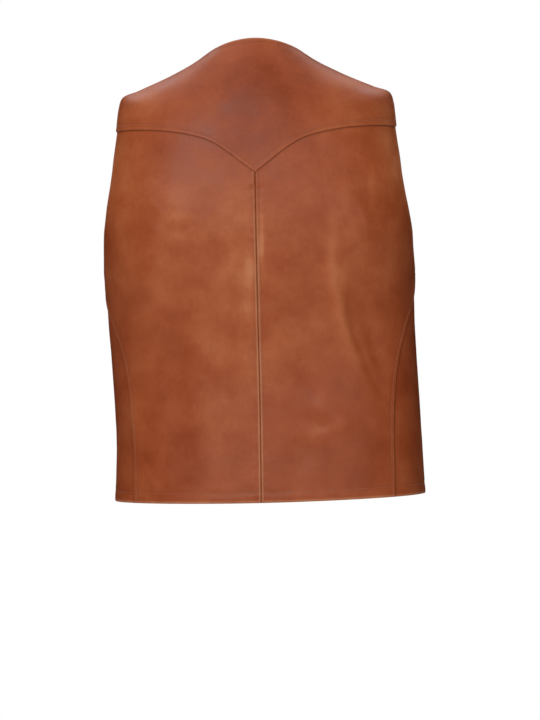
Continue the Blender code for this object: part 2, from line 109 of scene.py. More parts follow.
# Armhole edge from the underarm up the back, over the shoulder and down the front: degrees round from
# centre back, drop.
ARMHOLE = (
    (92.0, 0.3250),
    (82.0, 0.3160),
    (75.0, 0.2980),
    (70.5, 0.2740),
    (63.5, 0.2350),
    (61.5, 0.1910),
    (65.0, 0.1580),
    (67.5, 0.1380),
    (70.0, 0.1200),
    (74.5, 0.0990),
    (82.0, 0.0840),
    (90.0, 0.0770),
    (97.5, 0.0840),
    (103.5, 0.0990),
    (112.0, 0.1280),
    (119.5, 0.1600),
    (124.5, 0.2050),
    (122.5, 0.2500),
    (115.5, 0.2850),
    (105.0, 0.3140),
    (92.0, 0.3250),
)
FRONT_CORNER_ROW = 13
SHOULDER_ROW = 11

# Side seam from the underarm to the hem: degrees round from centre back, drop.
SIDE_SEAM = (
    (92.0, 0.3250),
    (84.5, 0.3450),
    (76.5, 0.3630),
    (67.0, 0.3880),
    (61.5, 0.4110),
    (58.5, 0.4300),
    (56.0, 0.4550),
    (54.0, 0.4930),
    (52.7, 0.5300),
    (52.0, 0.5840),
    (51.2, 0.6350),
)

# Neck edge of a front, from the yoke down to the break of the V, as seen from the front: x, drop.
NECK_END_DEGREES = 117.0
FRONT_NECK = (
    (0.0700, 0.0560),
    (0.0655, 0.0800),
    (0.0560, 0.1250),
    (0.0430, 0.1700),
    (0.0260, 0.2100),
    (0.0060, 0.2440),
    (-0.0150, 0.2700),
)

# Large soft folds, as in the solids: face, three points of a bent line as x and drop, width, height.
FOLDS = (
    ("back", 0.036, 0.330, 0.078, 0.410, 0.070, 0.610, 0.020, 0.0030),
    ("back", 0.150, 0.285, 0.152, 0.325, 0.146, 0.370, 0.034, 0.0030),
    ("back", 0.176, 0.490, 0.174, 0.530, 0.172, 0.580, 0.012, 0.0022),
    ("back", 0.118, 0.395, 0.122, 0.470, 0.116, 0.560, 0.024, -0.0022),
    ("back", -0.030, 0.270, -0.040, 0.320, -0.028, 0.380, 0.030, 0.0022),
    ("back", -0.104, 0.290, -0.112, 0.380, -0.154, 0.465, 0.014, 0.0036),
    ("back", -0.136, 0.350, -0.156, 0.430, -0.172, 0.510, 0.014, -0.0030),
    ("back", -0.076, 0.492, -0.100, 0.520, -0.130, 0.542, 0.013, 0.0028),
    ("back", -0.048, 0.468, -0.066, 0.482, -0.084, 0.500, 0.012, -0.0022),
    ("back", -0.048, 0.545, -0.056, 0.570, -0.050, 0.600, 0.018, -0.0020),
    ("back", 0.134, 0.205, 0.108, 0.228, 0.086, 0.250, 0.022, 0.0024),
    ("back", -0.096, 0.210, -0.126, 0.240, -0.156, 0.280, 0.024, 0.0026),
    ("front", 0.070, 0.300, 0.120, 0.330, 0.175, 0.335, 0.020, 0.0028),
    ("front", -0.065, 0.315, -0.118, 0.352, -0.178, 0.360, 0.018, 0.0026),
    ("front", 0.052, 0.420, 0.096, 0.440, 0.150, 0.480, 0.018, -0.0024),
    ("front", -0.056, 0.450, -0.090, 0.500, -0.132, 0.560, 0.022, 0.0028),
    ("front", 0.110, 0.520, 0.124, 0.570, 0.120, 0.615, 0.020, 0.0030),
    ("front", -0.150, 0.200, -0.120, 0.240, -0.080, 0.262, 0.018, -0.0022),
    ("front", 0.146, 0.190, 0.118, 0.225, 0.085, 0.245, 0.016, -0.0020),
)

# Smaller creases, only in the leather's surface: the same columns.
CREASES = (
    ("back", 0.168, 0.584, 0.158, 0.598, 0.144, 0.618, 0.006, 0.0013),
    ("back", 0.172, 0.560, 0.164, 0.572, 0.154, 0.580, 0.005, -0.0009),
    ("back", 0.150, 0.214, 0.136, 0.232, 0.118, 0.246, 0.006, 0.0008),
    ("back", 0.128, 0.252, 0.112, 0.262, 0.094, 0.266, 0.007, -0.0008),
    ("back", -0.092, 0.222, -0.108, 0.234, -0.122, 0.252, 0.006, -0.0008),
    ("back", -0.136, 0.226, -0.146, 0.244, -0.150, 0.266, 0.006, 0.0009),
    ("back", -0.064, 0.470, -0.078, 0.486, -0.100, 0.500, 0.006, 0.0010),
    ("back", -0.056, 0.520, -0.074, 0.532, -0.096, 0.540, 0.006, -0.0009),
    ("back", 0.020, 0.430, 0.026, 0.470, 0.024, 0.520, 0.008, 0.0008),
    ("back", -0.020, 0.400, -0.026, 0.440, -0.022, 0.500, 0.008, 0.0008),
    ("back", 0.096, 0.440, 0.098, 0.500, 0.090, 0.560, 0.009, 0.0009),
    ("back", -0.140, 0.420, -0.150, 0.450, -0.166, 0.480, 0.006, 0.0011),
    ("back", -0.121, 0.375, -0.138, 0.428, -0.163, 0.490, 0.007, -0.0030),
    ("back", -0.100, 0.285, -0.107, 0.350, -0.122, 0.410, 0.008, 0.0022),
    ("back", -0.029, 0.385, -0.055, 0.394, -0.083, 0.402, 0.005, 0.0008),
    ("back", -0.070, 0.555, -0.098, 0.540, -0.126, 0.531, 0.010, 0.0014),
    ("back", 0.030, 0.300, 0.036, 0.318, 0.046, 0.336, 0.004, 0.0008),
    ("back", 0.020, 0.318, 0.016, 0.345, 0.020, 0.372, 0.006, 0.0009),
    ("back", 0.043, 0.380, 0.046, 0.410, 0.042, 0.440, 0.005, 0.0007),
    ("front", 0.085, 0.330, 0.130, 0.352, 0.170, 0.350, 0.007, 0.0010),
    ("front", -0.075, 0.350, -0.120, 0.380, -0.170, 0.378, 0.007, 0.0009),
    ("front", 0.040, 0.300, 0.070, 0.318, 0.110, 0.312, 0.006, 0.0008),
    ("front", -0.060, 0.560, -0.085, 0.575, -0.120, 0.578, 0.007, -0.0009),
)

# Paler and darker areas of the back, each a soft oval: partly the hide's own uneven tone, partly painted
# highlights along the centre seam, the fold ridges and the armhole edges, and painted shade on the upper yoke
# and the flanks. A full step of tone is 1.
TONE_AND_PAINTED_LIGHT_COLUMNS = ("x", "drop", "reach_x", "reach_drop", "tone_and_painted_light")
TONES_AND_PAINTED_LIGHT = np.array(
    (
        (0.000, 0.070, 0.075, 0.055, -0.75),
        (0.030, 0.145, 0.060, 0.030, -0.35),
        (0.150, 0.085, 0.050, 0.030, 0.25),
        (0.100, 0.170, 0.040, 0.045, -0.20),
        (0.186, 0.185, 0.022, 0.065, 0.50),
        (-0.184, 0.185, 0.022, 0.065, 0.40),
        (0.040, 0.330, 0.032, 0.120, 0.32),
        (0.135, 0.330, 0.030, 0.060, 0.12),
        (0.095, 0.500, 0.016, 0.100, -0.25),
        (0.062, 0.540, 0.018, 0.080, 0.22),
        (0.013, 0.365, 0.012, 0.045, 0.45),
        (0.009, 0.316, 0.006, 0.018, 1.00),
        (-0.0070, 0.272, 0.0040, 0.040, 0.60),
        (-0.0045, 0.290, 0.0035, 0.014, 1.00),
        (-0.050, 0.550, 0.040, 0.060, 0.15),
        (-0.092, 0.540, 0.034, 0.014, 0.25),
        (-0.104, 0.285, 0.008, 0.050, 0.52),
        (-0.113, 0.358, 0.007, 0.035, 0.45),
        (-0.122, 0.238, 0.020, 0.028, 0.32),
        (-0.157, 0.212, 0.005, 0.026, 0.45),
        (0.100, 0.243, 0.016, 0.007, 0.40),
        (-0.155, 0.360, 0.030, 0.090, -0.20),
        (-0.145, 0.570, 0.045, 0.070, -0.45),
        (-0.200, 0.480, 0.020, 0.110, -0.35),
        (0.200, 0.470, 0.020, 0.110, -0.50),
    )
)

# Camera and stage.
CAMERA_AZIMUTH = 181.7
CAMERA_DISTANCE = 6.0
CAMERA_ROLL = 1.1
CAMERA_TARGET = (-0.0148, 0.100, -0.390)
FRAME_HEIGHT = 0.985
SENSOR_HEIGHT = 36.0
FLOOR_Z = -1.45
FLOOR_RADIUS = 6.0
LIT_POINT = (0.0, 0.0, -0.28)

# Snaps down the centre front.
SNAP_COUNT = 5
SNAP_FIRST_DROP = 0.285
SNAP_LAST_DROP = 0.600
SNAP_SIDES = 40

# Where the left front rises over the right one.
RAISED_FROM_DROP = 0.12
RAISED_OVER = 0.08

# Grid steps of the leather in metres, and where the columns and rows close up towards an edge.
STEP = 0.0030
EDGE_MARKS = (0.0, 0.00018, 0.0005, 0.0010, 0.0017, 0.0026, 0.0040, 0.0058)
PATH_SAMPLES = 900

# Seams: how far the topstitching stands from the edge, how deep it draws the leather in, how much it puffs
# the edge, and how high the puckers beside it are.
SEAM_COLUMNS = ("stitch", "draw", "puff", "pucker")
SEAMS = {
    "yoke": (0.0072, 0.00018, 0.00014, 0.00025),
    "under_yoke": (0.0060, 0.0, 0.0, 0.00020),
    "front_yoke": (0.0060, 0.00018, 0.00014, 0.00020),
    "side": (0.0050, 0.00020, 0.00016, 0.00035),
    "under_side": (0.0050, 0.0, 0.0, 0.00020),
    "centre": (0.0042, 0.00012, 0.00050, 0.00110),
    "neck": (0.0060, 0.00020, 0.00018, 0.00020),
    "armhole": (0.0060, 0.00025, 0.00020, 0.00030),
    "edge": (0.0060, 0.00025, 0.00020, 0.00020),
    "hem": (0.0140, 0.00030, 0.00035, 0.00050),
}
STITCH_PITCH = 0.0036
STITCH_LENGTH = 0.0030
STITCH_FURROW = 0.0016
STITCH_CLEAR_OF_EDGES = 0.0030
THREAD_RADIUS = 0.00030
THREAD_RINGS = 6
THREAD_SIDES = 6
TURN_WIDTH = {"hem": 0.016, "armhole": 0.010, "neck": 0.010, "edge": 0.012}
TURN_THICKNESS = 0.0011
TURN_STEP = 0.002
LAPPED_ROUNDING = 0.9
CENTRE_GROOVE = {"width": 0.0019, "depth": 0.0008}
# Painted shade: darker colour painted in the crevice of each seam and along each stitch furrow.
CREVICE_SHADE = {"centre": 0.0016, "under_yoke": 0.0012, "under_side": 0.0022}
FURROW_SHADE = 0.32
FURROW_WIDTH = 0.0011
# Painted highlight, partly wear: paler colour painted on a ridge beside each edge, strongest down the centre
# seam below a drop, and on the palest tones.
RIDGE_FROM_EDGE = 0.0016
RIDGE_WIDTH = 0.0013
WEAR_AND_PAINTED_HIGHLIGHT = {"centre": 1.5, "armhole": 0.7, "neck": 0.5, "edge": 0.6, "hem": 1.1}
CENTRE_WEAR_AND_HIGHLIGHT_FROM_DROP = 0.19
CENTRE_WEAR_AND_HIGHLIGHT_OVER = 0.14
LAPPED_WEAR_AND_HIGHLIGHT = 0.2
PAINTED_HIGHLIGHT_ABOVE_TONE = 0.5
THINNEST = 0.0001
PUCKER_REACH = 0.008
PUCKER_LEAST = 0.02
PUCKER_SCALES = ((0.0085, 1.0), (0.021, 0.7))
SWELL = ((17.0, 0.0007), (46.0, 0.00025))


def through(knots, values, at):
    """A smooth curve through the rows of values at their knots, read at each place asked."""
    knots = np.asarray(knots, float)
    values = np.asarray(values, float)
    slopes = np.gradient(values, knots, axis=0)
    at = np.clip(np.asarray(at, float), knots[0], knots[-1])
    low = np.clip(np.searchsorted(knots, at, side="right") - 1, 0, len(knots) - 2)
    span = (knots[low + 1] - knots[low])[:, None]
    t = (at - knots[low])[:, None] / span
    start = (2 * t**3 - 3 * t**2 + 1) * values[low]
    start_slope = (t**3 - 2 * t**2 + t) * span * slopes[low]
    end = (3 * t**2 - 2 * t**3) * values[low + 1]
    end_slope = (t**3 - t**2) * span * slopes[low + 1]
    return start + start_slope + end + end_slope


def form(around, depth):
    """Points of the form at these turns from centre back, in radians, and ring drops at centre back."""
    around = np.asarray(around, float)
    rows = through(RINGS[:, COLUMN["back_drop"]], RINGS, depth)
    ring = {name: rows[:, place] for name, place in COLUMN.items()}
    sine = np.sin(around)
    cosine = np.cos(around)
    power = ring["square"]
    reach = (np.abs(sine) ** power + np.abs(cosine) ** power) ** (-1 / power)
    toward_end = reach * np.abs(cosine)
    end_y = np.where(cosine >= 0, ring["back_y"], ring["front_y"])
    end_drop = np.where(cosine >= 0, ring["back_drop"], ring["front_drop"])
    x = ring["half_width"] * reach * sine
    y = ring["side_y"] + (end_y - ring["side_y"]) * toward_end
    drop = ring["side_drop"] + (end_drop - ring["side_drop"]) * toward_end**DROP_BLEND
    return np.stack((x, y, NECK_ABOVE_ORIGIN - drop), axis=1)


def smooth(share):
    """A share from 0 to 1, eased at both ends."""
    share = np.clip(share, 0, 1)
    return share * share * (3 - 2 * share)


def posed(points):
    """Points of the straight form as worn: turned, shifted and tilted a little below the chest."""
    share = smooth((NECK_ABOVE_ORIGIN - points[:, 2] - POSE_FROM_DROP) / POSE_OVER)
    angle = math.radians(HIP_TURN_DEGREES) * share
    x = points[:, 0] * np.cos(angle) + points[:, 1] * np.sin(angle) + HIP_SHIFT * share
    y = points[:, 1] * np.cos(angle) - points[:, 0] * np.sin(angle)
    return np.stack((x, y, points[:, 2] - HIP_TILT * x * share), axis=1)


def slopes_at(around, depth):
    """How the form moves for a turn and for a drop, and its outward normal."""
    turn_step = 1e-3
    depth_step = 5e-4
    by_turn = (form(around + turn_step, depth) - form(around - turn_step, depth)) / (2 * turn_step)
    lower = np.minimum(depth + depth_step, RINGS[-1, 0])
    upper = np.maximum(depth - depth_step, 0)
    by_depth = (form(around, lower) - form(around, upper)) / (lower - upper)[:, None]
    normal = np.cross(by_turn, by_depth)
    return by_turn, by_depth, normal / np.linalg.norm(normal, axis=1)[:, None]


def depth_at(around, drop):
    """The ring drop at which a line at one turn reaches a drop."""
    depths = np.linspace(0, RINGS[-1, 0], 500)
    drops = NECK_ABOVE_ORIGIN - form(np.full(500, around), depths)[:, 2]
    return float(np.interp(drop, drops, depths))


def seen_at(x, drop, between_degrees):
    """The turn and ring drop of the point seen at x and drop, between two turns."""
    turns = np.radians(np.linspace(*between_degrees, PATH_SAMPLES // 3))
    depths = np.array([depth_at(turn, drop) for turn in turns])
    across = form(turns, depths)[:, 0]
    order = np.argsort(across)
    turn = float(np.interp(x, across[order], turns[order]))
    return turn, depth_at(turn, drop)


def from_degrees(rows):
    return [(math.radians(degrees), depth_at(math.radians(degrees), drop)) for degrees, drop in rows]


def measured(line):
    """A line of turns and ring drops with its length so far at each point."""
    places = form(line[:, 0], line[:, 1])
    return line, np.concatenate(([0], np.cumsum(np.linalg.norm(np.diff(places, axis=0), axis=1))))


def path(points):
    """A dense smooth line through turns and ring drops."""
    points = np.asarray(points, float)
    knots = measured(points)[1]
    return measured(through(knots, points, np.linspace(0, knots[-1], PATH_SAMPLES)))


def along(line_and_lengths, shares):
    """Points at these shares of a line's length."""
    line, lengths = line_and_lengths
    wanted = np.asarray(shares, float) * lengths[-1]
    return np.stack([np.interp(wanted, lengths, line[:, place]) for place in (0, 1)], axis=-1)


def marks(length, count, close_first, close_last):
    """Shares along a length: even steps between, and the edge marks at each end that is an edge."""
    edge = np.array(EDGE_MARKS) / length
    first = edge if close_first else np.zeros(1)
    last = 1 - edge[::-1] if close_last else np.ones(1)
    return np.concatenate((first[:-1], np.linspace(first[-1], last[0], count), last[1:]))


def patch(top, bottom, first, last, count, close_first, close_last):
    """A grid between four edges, and the share of each point along its row."""
    down = (first[:, 1] - first[0, 1]) / (first[-1, 1] - first[0, 1])
    down = (down + (last[:, 1] - last[0, 1]) / (last[-1, 1] - last[0, 1])) / 2

    def filled(shares):
        s = shares[..., None]
        t = down[:, None, None]
        upper = along(top, shares)
        lower = along(bottom, shares)
        ends = (1 - s) * first[:, None] + s * last[:, None]
        corners = (1 - t) * ((1 - s) * top[0][0] + s * top[0][-1])
        corners = corners + t * ((1 - s) * bottom[0][0] + s * bottom[0][-1])
        return (1 - t) * upper + t * lower + ends - corners

    rough = filled(np.repeat(np.linspace(0, 1, 25)[None], len(first), axis=0))
    places = form(rough[..., 0].ravel(), rough[..., 1].ravel()).reshape(*rough.shape[:2], 3)
    lengths = np.linalg.norm(np.diff(places, axis=1), axis=2).sum(axis=1)
    shares = np.array([marks(length, count, close_first, close_last) for length in lengths])
    return filled(shares), shares


def fold_heights(points):
    """How far the folds and creases lift the form at these points."""
    heights = np.zeros(len(points))
    drops = NECK_ABOVE_ORIGIN - points[:, 2]
    seen = np.stack((points[:, 0], drops), axis=1)
    every = np.arange(len(points))
    shares = np.linspace(0, 1, FOLD_SAMPLES)
    for face, x0, drop0, x1, drop1, x2, drop2, width, height in FOLDS + CREASES:
        before = (1 - shares) ** 2
        between = 2 * shares * (1 - shares)
        after = shares**2
        bend_x = before * x0 + between * (2 * x1 - (x0 + x2) / 2) + after * x2
        bend_drop = before * drop0 + between * (2 * drop1 - (drop0 + drop2) / 2) + after * drop2
        bend = np.stack((bend_x, bend_drop), axis=1)
        span = np.diff(bend, axis=0)
        from_start = seen[:, None] - bend[:-1]
        reached = np.clip((from_start * span).sum(axis=2) / (span**2).sum(axis=1), 0, 1)
        away = np.linalg.norm(from_start - reached[..., None] * span, axis=2)
        nearest = away.argmin(axis=1)
        share = (nearest + reached[every, nearest]) / (FOLD_SAMPLES - 1)
        taper = np.sin(math.pi * (FOLD_END_SHARE + (1 - 2 * FOLD_END_SHARE) * share))
        toward_face = points[:, 1] if face == "back" else -points[:, 1]
        on_face = np.clip(toward_face / FACE_BLEND, 0, 1)
        heights += on_face * taper * height * np.exp(-((away[every, nearest] / width) ** 2))
    return heights


def tones_and_painted_light(points):
    """How much paler these points are painted than the hide's usual tone: partly its own uneven tone, partly
    painted highlight and shade.
    """
    x0, drop0, reach_x, reach_drop, tone_and_painted_light = TONES_AND_PAINTED_LIGHT.T
    away_x = (points[:, 0, None] - x0) / reach_x
    away_drop = (NECK_ABOVE_ORIGIN - points[:, 2, None] - drop0) / reach_drop
    on_back = smooth(points[:, 1] / FACE_BLEND)
    return on_back * (tone_and_painted_light * np.exp(-(away_x**2) - away_drop**2)).sum(axis=1)


def swell(points):
    """The soft unevenness of the hide."""
    heights = np.zeros(len(points))
    for scale, height in SWELL:
        heights += height * np.array([noise.noise(Vector(point)) for point in points * scale])
    return heights


def patchy(length):
    """How strong the wrinkles are along a seam: strong in some places and faint in others."""
    return 0.35 + 0.65 * smooth(0.5 + 0.6 * np.sin(length / 0.031 + 0.7) * np.sin(length / 0.052 + 2.0))


class Edge:
    """A seam or edge that a panel's relief and stitching are measured from."""

    def __init__(self, kind, line, inward):
        self.kind = kind
        self.inward = inward
        self.line, self.lengths = measured(along(line, np.linspace(0, 1, int(line[1][-1] / 0.0003))))
        places = form(self.line[:, 0], self.line[:, 1])
        self.tree = KDTree(len(places))
        for number, place in enumerate(places):
            self.tree.insert(place, number)
        self.tree.balance()

    def measure(self, points):
        """Distance from the edge and length along it for each point."""
        found = [self.tree.find(point)[1:] for point in points]
        numbers = np.array([number for number, _ in found])
        return np.array([distance for _, distance in found]), self.lengths[numbers]

    def beside(self, distance, step):
        """Turns and ring drops of a line at this distance inside the edge, a step apart."""
        count = max(2, round(self.lengths[-1] / step))
        line = along((self.line, self.lengths), (np.arange(count) + 0.5) / count)
        by_turn, by_depth, normal = slopes_at(line[:, 0], line[:, 1])
        ahead = np.gradient(line, axis=0)
        tangent = by_turn * ahead[:, :1] + by_depth * ahead[:, 1:]
        tangent /= np.linalg.norm(tangent, axis=1)[:, None]
        move = np.cross(normal, tangent) * self.inward * distance
        turn_turn = (by_turn * by_turn).sum(axis=1)
        turn_depth = (by_turn * by_depth).sum(axis=1)
        depth_depth = (by_depth * by_depth).sum(axis=1)
        move_turn = (by_turn * move).sum(axis=1)
        move_depth = (by_depth * move).sum(axis=1)
        scale = turn_turn * depth_depth - turn_depth**2
        turn = (move_turn * depth_depth - move_depth * turn_depth) / scale
        depth = (move_depth * turn_turn - move_turn * turn_depth) / scale
        return line + np.stack((turn, depth), axis=1)


def unevenness(points, tallness):
    """Small wrinkles at a seam, longer across it than along it, uneven in spacing, height and length."""
    heights = np.zeros(len(points))
    for scale, share in PUCKER_SCALES:
        squeezed = points / scale * (0.45, 0.45, 1.0)
        heights += share * np.array([noise.noise(Vector(point)) for point in squeezed])
    return heights * tallness


class Panel:
    """One leather piece: the half of the body it is on, its level above the form, and its edges and seams.

    The side is 1 for the wearer's left, -1 for the right, and 0 for a piece that spans both. The edges
    are all given for the left half.
    """

    def __init__(self, name, side, level, edges):
        self.name = name
        self.side = side
        self.level = level
        self.edges = edges

    def in_left_half(self, base):
        own = base.copy()
        own[:, 0] = np.abs(base[:, 0]) if self.side == 0 else base[:, 0] * self.side
        return own

    def relief(self, places):
        """For each place: base point, normal, outer and inner points, lift, painted seam shade, wear mixed
        with painted highlight, and tone mixed with painted light and shade.
        """
        base = form(places[:, 0], places[:, 1])
        own = self.in_left_half(base)
        height = self.level(places, own) + fold_heights(base) + swell(base)
        wall = np.full(len(places), WALL)
        seam_shade = np.zeros(len(places))
        wear_and_painted_highlight = np.zeros(len(places))
        turned = np.zeros(len(places), bool)
        distances = [edge.measure(own) for edge in self.edges]
        for edge, (distance, _) in zip(self.edges, distances):
            if edge.kind in TURN_WIDTH:
                turned |= distance < TURN_WIDTH[edge.kind]
                extra = TURN_THICKNESS * smooth((TURN_WIDTH[edge.kind] - distance) / TURN_STEP)
                wall = np.maximum(wall, WALL + extra)
        full_wall = wall.copy()
        for edge, (distance, length) in zip(self.edges, distances):
            stitch, draw, puff, pucker = SEAMS[edge.kind]
            under = edge.kind.startswith("under")
            if not under:
                is_turned = edge.kind in TURN_WIDTH
                rounding = full_wall / 2 if is_turned else np.full(len(places), WALL * LAPPED_ROUNDING)
                width = rounding
                if edge.kind == "centre":
                    width = CENTRE_GROOVE["width"]
                    rounding = CENTRE_GROOVE["depth"]
                inside = np.clip(1 - distance / width, 0, 1)
                fall = rounding * (1 - np.sqrt(1 - inside**2))
                height -= fall
                wall -= fall * (2 if is_turned else 1)
            height -= draw * np.exp(-(((distance - stitch) / STITCH_FURROW) ** 2))
            height += puff * np.where(distance < stitch, np.sin(math.pi * distance / stitch), 0)
            fades = np.exp(-np.maximum(distance - stitch, 0) / PUCKER_REACH) * smooth(distance / stitch)
            near = fades > PUCKER_LEAST
            height[near] += pucker * fades[near] * unevenness(base[near], patchy(length[near]))
            # Painted shade in the seam's crevice and along the stitch furrow.
            if edge.kind in CREVICE_SHADE:
                seam_shade = np.maximum(seam_shade, np.exp(-((distance / CREVICE_SHADE[edge.kind]) ** 2)))
            if not under:
                furrow = np.exp(-(((distance - stitch) / FURROW_WIDTH) ** 2))
                seam_shade = np.maximum(seam_shade, FURROW_SHADE * furrow)
                # Painted highlight, partly wear, on the ridge beside each edge.
                ridge = np.exp(-(((distance - RIDGE_FROM_EDGE) / RIDGE_WIDTH) ** 2))
                if edge.kind == "centre":
                    drop = NECK_ABOVE_ORIGIN - base[:, 2]
                    ridge = ridge * (0.2 + 0.8 * smooth((drop - CENTRE_WEAR_AND_HIGHLIGHT_FROM_DROP) / CENTRE_WEAR_AND_HIGHLIGHT_OVER))
                wear_and_painted_highlight = np.maximum(wear_and_painted_highlight, WEAR_AND_PAINTED_HIGHLIGHT.get(edge.kind, LAPPED_WEAR_AND_HIGHLIGHT) * ridge)
        # Tone mixed with painted highlight and shade; its palest places also get the paler edge colour as
        # painted highlight.
        tone_and_painted_light = tones_and_painted_light(base)
        wear_and_painted_highlight = np.maximum(wear_and_painted_highlight, tone_and_painted_light - PAINTED_HIGHLIGHT_ABOVE_TONE)
        normal = slopes_at(places[:, 0], places[:, 1])[2]
        return {
            "base": base,
            "normal": normal,
            "outer": base + normal * height[:, None],
            "inner": base + normal * (height - np.maximum(wall, THINNEST))[:, None],
            "lift": height - self.level(places, own),
            "seam_shade": seam_shade,
            "wear_and_painted_highlight": wear_and_painted_highlight,
            "tone_and_painted_light": tone_and_painted_light,
            "turned": turned,
        }


def mesh_object(name, points, faces, looks, face_looks=None):
    mesh = bpy.data.meshes.new(name)
    mesh.from_pydata(posed(points).tolist(), [], faces)
    mesh.polygons.foreach_set("use_smooth", np.ones(len(mesh.polygons), bool))
    for look in looks:
        mesh.materials.append(look)
    if face_looks is not None:
        mesh.polygons.foreach_set("material_index", face_looks)
    obj = bpy.data.objects.new(name, mesh)
    bpy.context.scene.collection.objects.link(obj)
    return obj


def quads_of(numbers):
    """Quads of a grid of vertex numbers, facing out where turns grow along the columns."""
    corners = (numbers[:-1, :-1], numbers[:-1, 1:], numbers[1:, 1:], numbers[1:, :-1])
    return np.stack(corners, axis=-1).reshape(-1, 4)


def leather_piece(panel, grid, lap=None):
    """The closed leather wall of one panel. A lap is a strip that runs on behind the grid's last rows."""
    places = grid.reshape(-1, 2)
    numbers = np.arange(len(places)).reshape(grid.shape[:2])
    faces = quads_of(numbers)
    if lap is not None:
        lap_numbers = len(places) + np.arange(lap.shape[0] * lap.shape[1]).reshape(lap.shape[:2])
        joined = np.concatenate((lap_numbers, numbers[-len(lap) :, :1]), axis=1)
        faces = np.concatenate((faces, quads_of(joined)))
        places = np.concatenate((places, lap.reshape(-1, 2)))
    if panel.side < 0:
        places = places * (-1, 1)
        faces = faces[:, ::-1]
    relief = panel.relief(places)
    count = len(places)
    edges = np.stack((faces, np.roll(faces, -1, axis=1)), axis=-1).reshape(-1, 2)
    border = edges[~np.isin(edges[:, 0] * count + edges[:, 1], edges[:, 1] * count + edges[:, 0])]
    rim = np.stack((border[:, 1], border[:, 0], border[:, 0] + count, border[:, 1] + count), axis=-1)
    inner_looks = np.where(relief["turned"][faces].all(axis=1), 0, 1)
    all_faces = np.concatenate((faces, faces[:, ::-1] + count, rim))
    looks = np.concatenate((np.zeros(len(faces), int), inner_looks, np.zeros(len(rim), int)))
    points = np.concatenate((relief["outer"], relief["inner"]))
    obj = mesh_object(panel.name + "_leather", points, all_faces.tolist(), (leather, suede), looks)
    for name in ("seam_shade", "wear_and_painted_highlight", "lift", "tone_and_painted_light"):
        attribute = obj.data.attributes.new(name, "FLOAT", "POINT")
        attribute.data.foreach_set("value", np.concatenate((relief[name], relief[name])))
    return obj


def stitches(panel, edges):
    """Thread along each edge's stitch line: short stitches that dip into the leather at both ends."""
    ring_shares = np.linspace(-1, 1, THREAD_RINGS)
    ring_angles = np.linspace(0, 2 * math.pi, THREAD_SIDES, endpoint=False)
    points = []
    faces = []
    start = 0
    sides = (1, -1) if panel.side == 0 else (panel.side,)
    for edge in edges:
        line = edge.beside(SEAMS[edge.kind][0], STITCH_PITCH)
        for side in sides:
            relief = panel.relief(line * (side, 1))
            own = relief["base"] * (side, 1, 1)
            clear = own[:, 0] > 0 if panel.side == 0 else np.ones(len(line), bool)
            for other in panel.edges:
                if other is not edge and not other.kind.startswith("under"):
                    clear &= other.measure(own)[0] > STITCH_CLEAR_OF_EDGES
            centre = relief["outer"]
            normal = relief["normal"]
            ahead = np.gradient(centre, axis=0)
            ahead /= np.linalg.norm(ahead, axis=1)[:, None]
            across = np.cross(normal, ahead)
            centre, normal, ahead, across = centre[clear], normal[clear], ahead[clear], across[clear]
            rings = []
            for share in ring_shares:
                radius = THREAD_RADIUS * (1 - 0.45 * share**4)
                middle = centre + ahead * share * STITCH_LENGTH / 2
                middle = middle + normal * THREAD_RADIUS * (1 - 2.6 * share**4)
                for angle in ring_angles:
                    spoke = normal * math.cos(angle) + across * math.sin(angle)
                    rings.append(middle + spoke * radius)
            points += rings
            shape = (THREAD_RINGS, THREAD_SIDES, int(clear.sum()))
            numbers = start + np.arange(math.prod(shape)).reshape(shape)
            start += numbers.size
            beside = np.roll(numbers, -1, axis=1)
            corners = (numbers[:-1], beside[:-1], beside[1:], numbers[1:])
            faces.append(np.stack(corners, axis=-1).reshape(-1, 4))
    quads = np.concatenate(faces).tolist()
    return mesh_object(panel.name + "_stitches", np.concatenate(points), quads, (thread,))


LEATHER_STOPS = (
    (0.00, 0.168, 0.029, 0.0068),
    (0.25, 0.212, 0.041, 0.0112),
    (0.50, 0.252, 0.055, 0.0165),
    (0.75, 0.296, 0.077, 0.0255),
    (1.00, 0.354, 0.110, 0.0410),
)
# Paler colour for worn edges and painted highlights.
WORN_AND_HIGHLIGHT_COLOUR = (0.42, 0.175, 0.085)
# Darker colour for painted shade in the seams.
SEAM_SHADE_COLOUR = (0.140, 0.026, 0.007)


def nodes_for(name):
    made = bpy.data.materials.new(name)
    made.use_nodes = True
    tree = made.node_tree
    shader = tree.nodes["Principled BSDF"]

    def add(kind, links=(), **values):
        node = tree.nodes.new(kind)
        for key, value in values.items():
            if key.startswith("in_"):
                node.inputs[key[3:].replace("_", " ")].default_value = value
            else:
                setattr(node, key, value)
        for socket, source in dict(links).items():
            tree.links.new(source, node.inputs[socket])
        return node

    return made, tree, shader, add


def ramp(node, stops):
    """Sets a colour ramp's stops: position, red, green, blue."""
    elements = node.color_ramp.elements
    while len(elements) > 1:
        elements.remove(elements[-1])
    elements[0].position = stops[0][0]
    elements[0].color = (*stops[0][1:], 1)
    for position, *colour in stops[1:]:
        elements.new(position).color = (*colour, 1)


